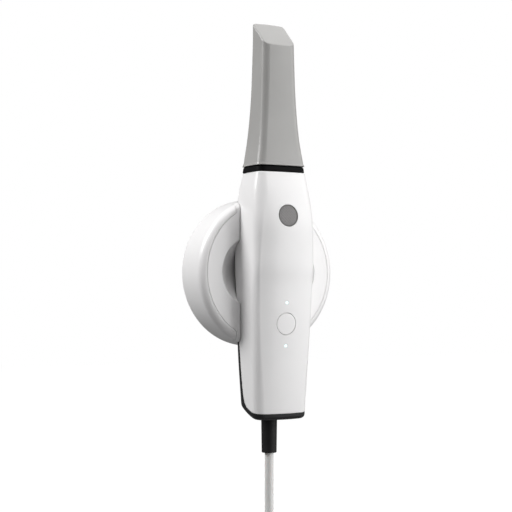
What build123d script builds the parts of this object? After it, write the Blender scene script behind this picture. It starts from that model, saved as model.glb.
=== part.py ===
from build123d import *

import os
from math import atan, cos, hypot, radians, sin, sqrt, tan

os.makedirs("parts", exist_ok=True)

# A wired intraoral scanner standing in its round wall holder.
# The origin is the centre of the holder's back, which lies on the wall. +Z is up,
# the front looks along -Y, and every height below is measured from the holder's centre.

# Body of the handpiece: half width, front face and back face at eight heights
neck_z = 62.5
neck_half = 17.5
neck_front = -47.8
neck_back = -19.4
shoulder_z = 48.5
shoulder_half = 20.0
shoulder_front = -51.0
shoulder_back = -17.8
thumb_z = 34.0
thumb_half = 21.2
thumb_front = -53.3
thumb_back = -16.4
belly_z = 12.0
belly_half = 21.45
belly_front = -53.1
belly_back = -14.2
grip_z = -20.0
grip_half = 21.1
grip_front = -51.1
grip_back = -15.8
waist_z = -52.0
waist_half = 20.0
waist_front = -49.1
waist_back = -16.5
heel_z = -80.0
heel_half = 18.9
heel_front = -47.25
heel_back = -17.9
foot_z = -98.0
foot_half = 18.2
foot_front = -46.1
foot_back = -19.0
body_wall = 2.0
rear_corner = 8.0
top_rear_corner = 6.0
waist_rear_corner = 7.2
heel_rear_corner = 7.6
foot_rear_corner = 8.0
side_draft = 0.6
rear_crown = 0.9

# Bottom of the handpiece, an arc in side view that rises to the rear
bottom_z = -92.3
bottom_radius = 50.0
bottom_slope = 5.0
bottom_round = 2.3
neck_round = 0.5

# Black rear cover: its edge seen from the side, and the band that it shows below
band_height = 4.1
seam_gap = 0.12
seam_turn_y = -34.0
seam_low_y = -27.3
seam_low_z = -72.0
seam_mid_y = -24.9
seam_mid_z = -41.0
seam_high_y = -20.8
seam_high_z = 8.0
seam_top_y = -21.4
seam_top_z = 44.0
seam_end_z = 56.0
seam_end_lean = 0.35

# Seal ring between body and tip
ring_height = 4.0
ring_step = 0.15
ring_bevel = 0.7

# Pull-off tip: sizes at five heights above its lower edge
tip_length = 93.0
tip_gap = 0.2
tip_step = 0.55
tip_wall = 1.6
flare_rise = 15.5
flare_half = 14.6
flare_front = -45.4
flare_back = -23.3
throat_rise = 37.5
throat_half = 12.85
throat_front = -44.2
throat_back = -24.7
stem_rise = 65.5
stem_half = 11.8
stem_front = -43.75
stem_back = -25.3
end_rise = 96.0
end_half = 11.3
end_front = -43.4
end_back = -25.9
tip_corner = 4.2
tip_rear_corner = 2.8
least_corner = 0.3
tip_crown = 0.35
tip_root_corner = 4.6
tip_root_rear = 6.0
tip_root_crown = 0.65
tip_slant = 44.0
tip_edge = 0.8
lip_height = 1.4
lip_flare = 0.45
viewing_width = 16.0
viewing_height = 15.0
viewing_below_top = 6.2
viewing_corner = 2.0
mirror_thickness = 1.0
mirror_gap = 0.15

# Nose that carries the tip
nose_length = 46.0
nose_clearance = 0.5
nose_wall = 1.8
nose_flange = 6.0
glass_thickness = 1.5

# Buttons and lit dots on the front
scan_z = 35.0
scan_radius = 6.7
scan_travel = 0.6
scan_recess = 0.25
scan_stem = 2.0
mode_z = -32.3
mode_radius = 6.7
mode_travel = 0.5
mode_recess = 0.05
button_gap = 0.2
button_skirt = 0.9
button_drop = 0.9
button_flange = 1.0
stem_radius = 2.0
upper_dot_z = -19.2
lower_dot_z = -46.0
dot_radius = 1.0
dot_gap = 0.06
guide_shoulder = 1.7

# Circuit board and what it carries
board_y = -43.0
board_thickness = 1.6
board_half = 13.0
board_low = -72.0
board_high = 44.0
board_corner = 2.0
board_post_radius = 2.2
board_post_x = 10.4
board_post_inset = 14.0
switch_size = 6.0
switch_corner = 0.4
plunger_radius = 1.6
plunger_height = 0.7
plunger_clearance = 0.4

# Small screws
fit_gap = 0.05
screw_radius = 1.0
screw_head = 1.9
screw_head_height = 1.2
board_screw_grip = 2.0
flange_screw_grip = 2.5
cover_screw_grip = 8.0
cover_boss_radius = 2.4
cover_boss_x = 10.8
cover_boss_z = -75.5
cover_screw_sink = 1.0

# Optics behind the board
chassis_half = 11.9
chassis_corner = 1.5
ear_half = 15.6
ear_height = 3.0
ear_depth = 5.0
chassis_screw_x = 13.9
chassis_front = -39.6
chassis_back = -25.2
chassis_low = 16.0
lens_radius = 5.0
lens_spread = 6.2
lens_axis_y = -32.6
lens_mouth = 3.8
lens_mouth_depth = 1.5
sensor_board = 11.4
sensor_board_thickness = 1.2
sink_base = 3.0
fin_height = 16.0
fin_count = 5

# Steel plate behind the rear cover
keeper_half = 7.0
keeper_low = -10.0
keeper_high = 22.0
keeper_thickness = 1.0
keeper_gap = 0.6
keeper_corner = 1.5

# Cable and its strain relief
relief_radius = 5.1
relief_end_radius = 4.75
relief_low = -114.0
relief_end_round = 0.5
relief_y = -28.6
relief_flange = 7.4
relief_clearance = 0.1
flange_thickness = 1.6
tail_radius = 3.6
tail_top = -72.0
clamp_half = 7.0
clamp_depth = 9.6
clamp_height = 5.0
clamp_below_tail = 1.5
clamp_corner = 1.0
cable_radius = 2.75
hank_top = -162.0
hank_length = 104.8
hank_half = 25.4
hank_waist = 19.4
hank_depth = 28.6
hank_edge = 2.5
hank_tail = 14.0
tie_height = 16.0
tie_wall = 1.2
plug_half = 8.0
plug_depth = 8.0
plug_length = 36.0
plug_corner = 2.75
plug_round = 1.0
plug_boot = 10.0
plug_boot_sink = 1.0
plug_boot_radius = 3.6
plug_shell_width = 12.0
plug_shell_depth = 4.5
plug_shell_length = 12.0
plug_shell_wall = 0.4
plug_tongue_depth = 1.9

# Round wall holder
drum_depth = 28.2
drum_shoulder_radius = 48.5
drum_taper = 1.0
drum_shoulder_depth = 5.3
face_inset = 4.5
face_dome = 1.2
face_gap = 0.15
face_edge = 2.1
ledge_width = 2.5
ledge_height = 1.8
holder_wall = 2.6
skirt_depth = 8.0
skirt_gap = 0.2
cradle_gap = 0.3
scoop_offset = 11.4
scoop_radius = 26.0
scoop_stand_off = 14.0
scoop_lift = 0.5
post_x = 27.0
post_z = 24.0
post_radius = 4.0
peg_radius = 2.0
peg_length = 5.5
plate_thickness = 3.0
plate_gap = 0.2
wall_screw_circle = 60.0
wall_screw_radius = 2.25
wall_screw_head = 4.4
magnet_radius = 6.0
magnet_height = 3.0
magnet_spread = 10.0
magnet_floor = -11.9
magnet_boss_wall = 1.5

# Each station: height, half width, front, back, half width of the raised front panel, its
# crown, depth of the front corner, how much of the panel's slope the corner takes over, and
# the radius of the rear corner
body_stations = [
    (foot_z, foot_half, foot_front, foot_back, 12.0, 0.8, 6.0, 1.0, foot_rear_corner),
    (heel_z, heel_half, heel_front, heel_back, 13.3, 1.1, 6.1, 1.0, heel_rear_corner),
    (waist_z, waist_half, waist_front, waist_back, 15.6, 1.6, 6.2, 0.4, waist_rear_corner),
    (grip_z, grip_half, grip_front, grip_back, 17.2, 2.1, 6.2, 0.0, rear_corner),
    (belly_z, belly_half, belly_front, belly_back, 17.6, 2.3, 6.2, 0.0, rear_corner),
    (thumb_z, thumb_half, thumb_front, thumb_back, 15.4, 1.9, 6.8, 0.5, rear_corner),
    (shoulder_z, shoulder_half, shoulder_front, shoulder_back, 12.9, 1.2, 6.8, 1.0, top_rear_corner),
    (neck_z, neck_half, neck_front, neck_back, 12.0, 0.7, 5.0, 1.0, top_rear_corner),
]
handle = 0.55  # share of a quarter round that its curve's handles take


def with_halfway(heights):
    """The given heights and those halfway between neighbours, in order."""
    return sorted(heights + [(low + high) / 2 for low, high in zip(heights, heights[1:])])


def blend(rows, z):
    """Sizes at this height, on a smooth curve through the given rows."""
    heights = [row[0] for row in rows]
    last = len(rows) - 1
    at = min(max(sum(height <= z for height in heights) - 1, 0), last - 1)
    gaps = [heights[i + 1] - heights[i] for i in range(last)]
    t = (z - heights[at]) / gaps[at]
    blended = [z]
    for values in list(zip(*rows))[1:]:
        slopes = [(values[i + 1] - values[i]) / gaps[i] for i in range(last)]
        pulls = [slopes[0]]
        for i in range(1, last):
            pulls.append((gaps[i] * slopes[i - 1] + gaps[i - 1] * slopes[i]) / (gaps[i - 1] + gaps[i]))
        pulls.append(slopes[-1])
        blended.append(
            (2 * t**3 - 3 * t**2 + 1) * values[at]
            + (t**3 - 2 * t**2 + t) * gaps[at] * pulls[at]
            + (3 * t**2 - 2 * t**3) * values[at + 1]
            + (t**3 - t**2) * gaps[at] * pulls[at + 1]
        )
    return blended


def section(z, half, front, back, panel, crown, corner, lean, rear_round, grow, draft, bow):
    """Outline across the handpiece: crowned front panel, two corners, sides and bowed back."""
    slope = 2 * atan(crown / panel) * min(lean, 1)
    side = half + grow
    panel_y = front - grow + crown
    corner_y = front + crown + corner
    rear_side = side - draft
    rear_y = back - bow - rear_round
    rear_panel = rear_side - grow - rear_round
    back_y = back - bow + grow
    rear_slope = 2 * atan(bow / rear_panel)
    reach = side - panel
    rear_reach = rear_side - rear_panel
    side_length = hypot(rear_side - side, rear_y - corner_y)
    lean_x = (rear_side - side) / side_length
    lean_y = (rear_y - corner_y) / side_length
    with BuildSketch(Plane.XY.offset(z)) as across:
        with BuildLine():
            ThreePointArc((-panel, panel_y), (0, front - grow), (panel, panel_y))
            ThreePointArc((-rear_panel, back_y), (0, back + grow), (rear_panel, back_y))
            for way in (1, -1):
                Bezier(
                    (way * panel, panel_y),
                    (way * (panel + handle * reach), panel_y + handle * reach * tan(slope)),
                    (
                        way * (side - handle * (corner_y - panel_y) * lean_x),
                        corner_y - handle * (corner_y - panel_y) * lean_y,
                    ),
                    (way * side, corner_y),
                )
                Line((way * side, corner_y), (way * rear_side, rear_y))
                Bezier(
                    (way * rear_side, rear_y),
                    (
                        way * (rear_side + handle * (back_y - rear_y) * lean_x),
                        rear_y + handle * (back_y - rear_y) * lean_y,
                    ),
                    (
                        way * (rear_panel + handle * rear_reach),
                        back_y - handle * rear_reach * tan(rear_slope),
                    ),
                    (way * rear_panel, back_y),
                )
        make_face()
    return across.sketch


def body_form(grow):
    """Whole outside of the handpiece's body, grown or shrunk, before its bottom is cut."""
    heights = with_halfway([row[0] for row in body_stations])
    with BuildPart() as form:
        loft(sections=[section(*blend(body_stations, z), grow, side_draft, rear_crown) for z in heights])
    return form.part


tip_base = neck_z + ring_height + tip_gap
tip_top = tip_base + tip_length
tip_stations = [
    (
        tip_base, neck_half - tip_step, neck_front + tip_step, neck_back - tip_step,
        tip_root_corner, tip_root_rear, tip_root_crown,
    ),
    (tip_base + flare_rise, flare_half, flare_front, flare_back, tip_corner, tip_rear_corner, tip_crown),
    (tip_base + throat_rise, throat_half, throat_front, throat_back, tip_corner, tip_rear_corner, tip_crown),
    (tip_base + stem_rise, stem_half, stem_front, stem_back, tip_corner, tip_rear_corner, tip_crown),
    (tip_base + end_rise, end_half, end_front, end_back, tip_corner, tip_rear_corner, tip_crown),
]


def tip_section(height, z, grow):
    """Outline that the tip has at this height, drawn at height z, grown or shrunk."""
    _, half, front, back, corner, rear, crown = blend(tip_stations, height)
    corner = max(corner, least_corner - grow)
    rear = max(rear, least_corner - grow)
    return section(z, half, front, back, half - corner, crown, corner, 1.0, rear, grow, 0.0, crown)


def tip_form(grow):
    """Sleeve form of the tip, grown or shrunk."""
    with BuildPart() as form:
        loft(sections=[tip_section(z, z, grow) for z in with_halfway([row[0] for row in tip_stations])])
    return form.part


def root_column(grow, low, high):
    """Straight column with the outline of the tip's lower edge."""
    with BuildPart() as column:
        add(tip_section(tip_base, low, grow))
        extrude(amount=high - low)
    return column.part


def part_above(form, plane):
    """What lies on the plane's positive side."""
    with BuildPart() as kept:
        add(form)
        split(bisect_by=plane, keep=Keep.TOP)
    return kept.part


def part_below(form, plane):
    """What lies on the plane's negative side."""
    with BuildPart() as kept:
        add(form)
        split(bisect_by=plane, keep=Keep.BOTTOM)
    return kept.part


sight_y = 4 * belly_front  # well in front of everything


def surface_plane(form, x, z):
    """Plane on the form's front surface at this place, looking out along its normal."""
    point, normal = form.find_intersection_points(Axis((x, sight_y, z), (0, 1, 0)))[0]
    outward = normal if normal.Y < 0 else normal * -1
    return Plane(origin=point, x_dir=(1, 0, 0), z_dir=outward)


def round_bar(plane, x, y, radius, length):
    """Straight round bar along the plane's normal."""
    with BuildPart() as bar:
        with BuildSketch(plane):
            with Locations((x, y)):
                Circle(radius)
        extrude(amount=length)
    return bar.part


# Forms of the body, and how far its cuts reach past it
cut_margin = 8.0
rear_margin = 1.0
far_behind = belly_back + rear_margin
far_below = bottom_z - cut_margin
far_front = foot_front - cut_margin
far_above = neck_z + cut_margin
arc_y = foot_front - bottom_radius * sin(radians(bottom_slope))
arc_z = bottom_z + bottom_radius * cos(radians(bottom_slope))


def bottom_point(y, inset):
    """Point of the bottom's arc in side view, moved inwards by this much."""
    return (y, arc_z - sqrt((bottom_radius - inset) ** 2 - (y - arc_y) ** 2))


def above_bottom(inset):
    """Everything above the bottom's arc, which is moved inwards by this much."""
    with BuildPart() as region:
        with BuildSketch(Plane.YZ):
            with BuildLine():
                arc = ThreePointArc(*[bottom_point(y, inset) for y in (far_front, arc_y / 2, far_behind)])
                Polyline(arc @ 1, (far_behind, far_above), (far_front, far_above), arc @ 0)
            make_face()
        extrude(amount=2 * belly_half, both=True)
    return region.part


body_outer = body_form(0)
with BuildPart() as body_blank:
    add(body_outer)
    add(above_bottom(0), mode=Mode.INTERSECT)
    fillet(body_blank.faces().sort_by(Axis.Z)[0].edges(), bottom_round)
    fillet(body_blank.faces().sort_by(Axis.Z)[-1].edges(), neck_round)
with BuildPart() as body_cavity:
    add(body_form(-body_wall))
    add(above_bottom(body_wall), mode=Mode.INTERSECT)

# Region of the black rear cover, seen from the side


def cover_region(gap):
    """Side view of the rear cover, widened by a gap and carried through the whole width."""
    low = (seam_low_y - gap, seam_low_z)
    middle = (seam_mid_y - gap, seam_mid_z)
    high = (seam_high_y - gap, seam_high_z)
    top = (seam_top_y - gap, seam_top_z)
    end = (shoulder_back - gap, seam_end_z)
    with BuildPart() as region:
        with BuildSketch(Plane.YZ):
            with BuildLine():
                band = ThreePointArc(
                    *[bottom_point(y, band_height + gap) for y in (far_front, foot_front, seam_turn_y)]
                )
                Spline(band @ 1, low, middle, high, top, end, tangents=(band % 1, (seam_end_lean, 1)))
                Polyline(
                    end, (far_behind, seam_end_z), (far_behind, far_below), (far_front, far_below), band @ 0
                )
            make_face()
        extrude(amount=2 * belly_half, both=True)
    return region.part


# Planes of the buttons and of the lit dots
scan_plane = surface_plane(body_outer, 0, scan_z)
mode_plane = surface_plane(body_outer, 0, mode_z)
upper_dot_plane = surface_plane(body_outer, 0, upper_dot_z)
lower_dot_plane = surface_plane(body_outer, 0, lower_dot_z)
button_depth = body_wall + button_drop

# Front shell
board_post_heights = (board_high - board_post_inset, board_low + board_post_inset)
board_post_places = [(way * board_post_x, height) for way in (1, -1) for height in board_post_heights]
cover_boss_places = [(way * cover_boss_x, cover_boss_z) for way in (1, -1)]
cover_boss_points = body_cavity.part.find_intersection_points(
    Axis((cover_boss_x + cover_boss_radius, sight_y, cover_boss_z), (0, 1, 0))
)
cover_boss_back = cover_boss_points[-1][0].Y - fit_gap
with BuildPart() as front_shell:
    add(body_blank.part)
    add(body_cavity.part, mode=Mode.SUBTRACT)
    add(cover_region(seam_gap), mode=Mode.SUBTRACT)
    for places, radius, end in (
        (board_post_places, board_post_radius, board_y),
        (cover_boss_places, cover_boss_radius, cover_boss_back),
    ):
        for x, z in places:
            wall_y = surface_plane(body_outer, x, z).origin.Y + body_wall / 2
            root = Plane.XZ.offset(-wall_y)
            add(round_bar(root, x, z, radius, wall_y - end))
            add(round_bar(root, x, z, screw_radius + fit_gap, wall_y - end), mode=Mode.SUBTRACT)
    for plane, radius in (
        (scan_plane, scan_radius + button_gap),
        (mode_plane, mode_radius + button_gap),
        (upper_dot_plane, dot_radius + dot_gap),
        (lower_dot_plane, dot_radius + dot_gap),
    ):
        add(round_bar(plane.offset(body_wall), 0, 0, radius, -3 * body_wall), mode=Mode.SUBTRACT)
front_shell.part.label = "front_shell"
export_step(front_shell.part, "parts/front_shell.step")

# Rear cover, black, with the bottom and the cable's outlet
through = 8 * body_wall
with BuildPart() as back_shell:
    add(body_blank.part)
    add(body_cavity.part, mode=Mode.SUBTRACT)
    add(cover_region(0), mode=Mode.INTERSECT)
    add(
        round_bar(Plane.XY.offset(bottom_z), 0, relief_y, relief_radius + relief_clearance, through),
        mode=Mode.SUBTRACT,
    )
    for x, z in cover_boss_places:
        for y, radius in ((cover_boss_back, screw_radius), (cover_boss_back + cover_screw_sink, screw_head)):
            add(round_bar(Plane.XZ.offset(-y), x, z, radius + fit_gap, -through), mode=Mode.SUBTRACT)
back_shell.part.label = "back_shell"
export_step(back_shell.part, "parts/back_shell.step")

with BuildPart() as cover_screws:
    head_y = cover_boss_back + cover_screw_sink
    for x, z in cover_boss_places:
        add(round_bar(Plane.XZ.offset(-head_y), x, z, screw_head, -screw_head_height))
        add(round_bar(Plane.XZ.offset(-head_y), x, z, screw_radius, cover_screw_grip))
cover_screws.part.label = "cover_screws"
export_step(cover_screws.part, "parts/cover_screws.step")

# Seal ring
ring_top = neck_z + ring_height
nose_grow = -(tip_wall + nose_clearance)
with BuildPart() as neck_ring:
    _, half, front, back, panel, crown, corner, lean, rear = body_stations[-1]
    low_outline = section(
        neck_z, half, front, back, panel, crown, corner, lean, rear, -ring_step, 0, rear_crown
    )
    top_outline = section(
        ring_top, half - tip_step, front + tip_step, back - tip_step,
        panel, crown, corner, lean, rear, -ring_step, 0, rear_crown,
    )
    loft(sections=[low_outline, top_outline])
    ends = neck_ring.faces().sort_by(Axis.Z)
    chamfer(ends[0].edges() + ends[-1].edges(), ring_bevel)
    add(root_column(nose_grow + fit_gap, neck_z, ring_top), mode=Mode.SUBTRACT)
neck_ring.part.label = "neck_ring"
export_step(neck_ring.part, "parts/neck_ring.step")

# Nose: flange inside the neck, column through the ring, tapered barrel inside the tip
nose_top = tip_base + nose_length
flange_low = neck_z - nose_flange
glass_low = Plane.XY.offset(nose_top - glass_thickness)
chassis_screw_places = [(way * chassis_screw_x, lens_axis_y) for way in (1, -1)]
with BuildPart() as nose_barrel:
    add(part_below(tip_form(nose_grow), Plane.XY.offset(nose_top)))
    add(root_column(nose_grow, neck_z, tip_base))
    flange_form = part_below(body_form(-body_wall - fit_gap), Plane.XY.offset(neck_z))
    add(part_above(flange_form, Plane.XY.offset(flange_low)))
    add(tip_form(nose_grow - nose_wall), mode=Mode.SUBTRACT)
    add(root_column(nose_grow - nose_wall, flange_low, tip_base), mode=Mode.SUBTRACT)
    add(part_above(tip_form(nose_grow - nose_wall / 2), glass_low), mode=Mode.SUBTRACT)
    for x, y in chassis_screw_places:
        add(
            round_bar(Plane.XY.offset(flange_low), x, y, screw_radius + fit_gap, flange_screw_grip + fit_gap),
            mode=Mode.SUBTRACT,
        )
nose_barrel.part.label = "nose_barrel"
export_step(nose_barrel.part, "parts/nose_barrel.step")

with BuildPart() as nose_window:
    glass_form = part_below(tip_form(nose_grow - nose_wall / 2 - fit_gap), Plane.XY.offset(nose_top))
    add(part_above(glass_form, glass_low))
nose_window.part.label = "nose_window"
export_step(nose_window.part, "parts/nose_window.step")

# Tip: hollow sleeve with a slanted end, a flared lip and a viewing window at the back
slant_plane = Plane(
    origin=(0, end_back, tip_top),
    x_dir=(1, 0, 0),
    z_dir=(0, -sin(radians(tip_slant)), cos(radians(tip_slant))),
)
window_middle = tip_top - viewing_below_top - viewing_height / 2
with BuildPart() as tip_shell:
    add(tip_form(0))
    split(bisect_by=slant_plane, keep=Keep.BOTTOM)
    fillet(tip_shell.faces().sort_by(Axis.Z)[-1].edges(), tip_edge)
    loft(
        sections=[
            tip_section(tip_base, tip_base, lip_flare),
            tip_section(tip_base + lip_height, tip_base + lip_height, lip_flare / 2),
        ]
    )
    add(part_below(tip_form(-tip_wall), slant_plane.offset(-tip_wall)), mode=Mode.SUBTRACT)
    with BuildSketch(Plane.XZ.offset(-(end_back - 2 * tip_wall))):
        with Locations((0, window_middle)):
            RectangleRounded(viewing_width, viewing_height, viewing_corner)
    extrude(amount=-through, mode=Mode.SUBTRACT)
tip_shell.part.label = "tip_shell"
export_step(tip_shell.part, "parts/tip_shell.step")

mirror_face = slant_plane.offset(-tip_wall - mirror_gap)
with BuildPart() as tip_mirror:
    mirror_form = part_below(tip_form(-tip_wall - 2 * mirror_gap), mirror_face)
    add(part_above(mirror_form, mirror_face.offset(-mirror_thickness)))
tip_mirror.part.label = "tip_mirror"
export_step(tip_mirror.part, "parts/tip_mirror.step")


def button(plane, radius, recess, stem):
    """A cap that follows the shell's surface, with a collar that keeps it in and a stem."""
    under = plane.offset(-button_depth)
    with BuildPart() as pressed:
        add(round_bar(plane.offset(body_wall), 0, 0, radius, -(body_wall + button_depth + button_flange / 2)))
        add(body_outer.moved(Location(plane.z_dir * -recess)), mode=Mode.INTERSECT)
        add(round_bar(under, 0, 0, radius + button_skirt, -button_flange))
        if stem:
            add(round_bar(under, 0, 0, stem_radius, -button_flange - stem))
    return pressed.part


# Buttons
scan_button = button(scan_plane, scan_radius, scan_recess, scan_stem)
scan_button.label = "scan_button"
export_step(scan_button, "parts/scan_button.step")
mode_button = button(mode_plane, mode_radius, mode_recess, 0)
mode_button.label = "mode_button"
export_step(mode_button, "parts/mode_button.step")

# Light guides
for name, plane in (("upper_light_guide", upper_dot_plane), ("lower_light_guide", lower_dot_plane)):
    guide_length = (board_y - plane.origin.Y) / -plane.z_dir.Y - plunger_clearance
    with BuildPart() as guide:
        add(round_bar(plane, 0, 0, dot_radius, -guide_length))
        add(round_bar(plane.offset(-body_wall - dot_gap), 0, 0, guide_shoulder, -button_flange))
    guide.part.label = name
    export_step(guide.part, "parts/" + name + ".step")

# Circuit board on its four posts
board_back = board_y + board_thickness
with BuildPart() as main_board:
    with BuildSketch(Plane.XZ.offset(-board_y)):
        with Locations((0, (board_low + board_high) / 2)):
            RectangleRounded(2 * board_half, board_high - board_low, board_corner)
        with Locations(board_post_places):
            Circle(screw_radius + 2 * fit_gap, mode=Mode.SUBTRACT)
    extrude(amount=-board_thickness)
main_board.part.label = "main_board"
export_step(main_board.part, "parts/main_board.step")

with BuildPart() as board_screws:
    for x, z in board_post_places:
        add(round_bar(Plane.XZ.offset(-board_back), x, z, screw_head, -screw_head_height))
        add(round_bar(Plane.XZ.offset(-board_back), x, z, screw_radius, board_thickness + board_screw_grip))
board_screws.part.label = "board_screws"
export_step(board_screws.part, "parts/board_screws.step")

for name, plane, depth, travel in (
    ("scan_switch", scan_plane, button_depth + button_flange + scan_stem, scan_travel),
    ("mode_switch", mode_plane, button_depth + button_flange, mode_travel),
):
    end = plane.origin - plane.z_dir * depth
    top_y = end.Y + travel + plunger_clearance + plunger_height
    with BuildPart() as switch:
        with BuildSketch(Plane.XZ.offset(-board_y)):
            with Locations((0, end.Z)):
                RectangleRounded(switch_size, switch_size, switch_corner)
        extrude(amount=board_y - top_y)
        add(round_bar(Plane.XZ.offset(-top_y), 0, end.Z, plunger_radius, plunger_height))
    switch.part.label = name
    export_step(switch.part, "parts/" + name + ".step")

# Optics: chassis with two bores, lenses, their boards and a heat sink
flange_plane = Plane.XY.offset(flange_low)
with BuildPart() as optics_chassis:
    with BuildSketch(Plane.XY.offset(chassis_low)):
        with Locations((0, (chassis_front + chassis_back) / 2)):
            RectangleRounded(2 * chassis_half, chassis_back - chassis_front, chassis_corner)
    extrude(amount=flange_low - chassis_low)
    with BuildSketch(flange_plane):
        with Locations((0, lens_axis_y)):
            RectangleRounded(2 * ear_half, ear_depth, chassis_corner)
    extrude(amount=-ear_height)
    bore_radius = lens_radius + fit_gap
    for side in (1, -1):
        add(
            round_bar(flange_plane, side * lens_spread, lens_axis_y, bore_radius, chassis_low - flange_low),
            mode=Mode.SUBTRACT,
        )
    for x, y in chassis_screw_places:
        add(round_bar(flange_plane, x, y, screw_radius + fit_gap, -ear_height), mode=Mode.SUBTRACT)
optics_chassis.part.label = "optics_chassis"
export_step(optics_chassis.part, "parts/optics_chassis.step")

with BuildPart() as chassis_screws:
    ear_low = Plane.XY.offset(flange_low - ear_height)
    for x, y in chassis_screw_places:
        add(round_bar(ear_low, x, y, screw_head, -screw_head_height))
        add(round_bar(ear_low, x, y, screw_radius, ear_height + flange_screw_grip))
chassis_screws.part.label = "chassis_screws"
export_step(chassis_screws.part, "parts/chassis_screws.step")

for name, side in (("camera_lens", -1), ("projector_lens", 1)):
    with BuildPart() as lens:
        add(
            round_bar(
                Plane.XY.offset(chassis_low), side * lens_spread, lens_axis_y, lens_radius,
                flange_low - chassis_low - fit_gap,
            )
        )
        add(
            round_bar(flange_plane, side * lens_spread, lens_axis_y, lens_mouth, -lens_mouth_depth),
            mode=Mode.SUBTRACT,
        )
    lens.part.label = name
    export_step(lens.part, "parts/" + name + ".step")

for name, side in (("camera_sensor_board", -1), ("projector_lamp_board", 1)):
    with BuildPart() as board:
        with BuildSketch(Plane.XY.offset(chassis_low)):
            with Locations((side * lens_spread, lens_axis_y)):
                Rectangle(sensor_board, sensor_board)
        extrude(amount=-sensor_board_thickness)
    board.part.label = name
    export_step(board.part, "parts/" + name + ".step")

sink_top = chassis_low - sensor_board_thickness
fin_pitch = sensor_board / fin_count
with BuildPart() as heat_sink:
    with BuildSketch(Plane.XY.offset(sink_top)):
        with Locations((lens_spread, lens_axis_y)):
            Rectangle(sensor_board, sensor_board)
    extrude(amount=-sink_base)
    with BuildSketch(Plane.XY.offset(sink_top - sink_base)):
        with Locations((lens_spread, lens_axis_y)):
            with GridLocations(0, fin_pitch, 1, fin_count):
                Rectangle(sensor_board, fin_pitch / 2)
    extrude(amount=-fin_height)
heat_sink.part.label = "heat_sink"
export_step(heat_sink.part, "parts/heat_sink.step")

# Steel plate behind the rear cover, on which the holder's magnets pull
keeper_back = belly_back - body_wall - rear_crown - keeper_gap
with BuildPart() as steel_keeper:
    with BuildSketch(Plane.XZ.offset(-keeper_back)):
        with Locations((0, (keeper_low + keeper_high) / 2)):
            RectangleRounded(2 * keeper_half, keeper_high - keeper_low, keeper_corner)
    extrude(amount=keeper_thickness)
steel_keeper.part.label = "steel_keeper"
export_step(steel_keeper.part, "parts/steel_keeper.step")

# Strain relief: straight sleeve, a flange trapped inside the bottom, and a tail in the clamp
relief_base = bottom_point(relief_y, 0)[1]
sleeve_top = relief_base - bottom_round
with BuildPart() as relief_collar:
    add(round_bar(Plane.XY.offset(bottom_z), 0, relief_y, relief_flange, through))
    add(body_form(-body_wall - 2 * fit_gap), mode=Mode.INTERSECT)
    add(above_bottom(body_wall + fit_gap), mode=Mode.INTERSECT)
    add(above_bottom(body_wall + flange_thickness), mode=Mode.SUBTRACT)
with BuildPart() as strain_relief:
    with BuildSketch(Plane.XY.offset(relief_low)):
        with Locations((0, relief_y)):
            Circle(relief_end_radius)
    with BuildSketch(Plane.XY.offset(sleeve_top)):
        with Locations((0, relief_y)):
            Circle(relief_radius)
    loft()
    fillet(strain_relief.faces().sort_by(Axis.Z)[0].edges(), relief_end_round)
    add(round_bar(Plane.XY.offset(sleeve_top), 0, relief_y, relief_radius, bottom_round + 2 * body_wall))
    add(round_bar(Plane.XY.offset(relief_base), 0, relief_y, tail_radius, tail_top - relief_base))
    add(relief_collar.part)
strain_relief.part.label = "strain_relief"
export_step(strain_relief.part, "parts/strain_relief.step")

clamp_low = tail_top - clamp_below_tail - clamp_height
with BuildPart() as cable_clamp:
    with BuildSketch(Plane.XY.offset(clamp_low)):
        with Locations((0, relief_y)):
            RectangleRounded(2 * clamp_half, clamp_depth, clamp_corner)
            Circle(tail_radius + fit_gap, mode=Mode.SUBTRACT)
    extrude(amount=clamp_height)
cable_clamp.part.label = "cable_clamp"
export_step(cable_clamp.part, "parts/cable_clamp.step")

# Cable: a plumb run, the rest put away in a tied hank, and the plug below it
with BuildPart() as cable:
    add(round_bar(Plane.XY.offset(relief_low), 0, relief_y, cable_radius, hank_top - relief_low))
cable.part.label = "cable"
export_step(cable.part, "parts/cable.step")

hank_middle = hank_top - hank_length / 2
hank_y = relief_y - cable_radius - fit_gap + hank_depth / 2
hank_low = hank_top - hank_length
with BuildPart() as hank_blank:
    with BuildSketch(Plane.XZ.offset(-hank_y - hank_depth / 2)):
        with BuildLine():
            for way in (1, -1):
                for end_z in (hank_top, hank_low):
                    inwards = (hank_middle - end_z) / (hank_length / 2)
                    shoulder_height = end_z + inwards * hank_half
                    Bezier(
                        (0, end_z),
                        (way * handle * hank_half, end_z),
                        (way * hank_half, end_z + inwards * hank_half * (1 - handle)),
                        (way * hank_half, shoulder_height),
                    )
                    Bezier(
                        (way * hank_half, shoulder_height),
                        (way * hank_half, shoulder_height + inwards * tie_height / 2),
                        (way * hank_waist, hank_middle - inwards * tie_height),
                        (way * hank_waist, hank_middle),
                    )
        make_face()
    extrude(amount=hank_depth)
    ends = hank_blank.faces().sort_by(Axis.Y)
    fillet(ends[0].edges() + ends[-1].edges(), hank_edge)
with BuildPart() as cable_hank:
    add(hank_blank.part)
    add(round_bar(Plane.XY.offset(hank_low + hank_edge), 0, relief_y, cable_radius, -hank_edge - hank_tail))
cable_hank.part.label = "cable_hank"
export_step(cable_hank.part, "parts/cable_hank.step")

with BuildPart() as cable_tie:
    with BuildSketch(Plane.XY.offset(hank_middle - tie_height / 2)):
        with Locations((0, hank_y)):
            RectangleRounded(2 * (hank_waist + tie_wall), hank_depth + 2 * tie_wall, hank_edge + tie_wall)
    extrude(amount=tie_height)
    add(hank_blank.part, mode=Mode.SUBTRACT)
cable_tie.part.label = "cable_tie"
export_step(cable_tie.part, "parts/cable_tie.step")

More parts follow.
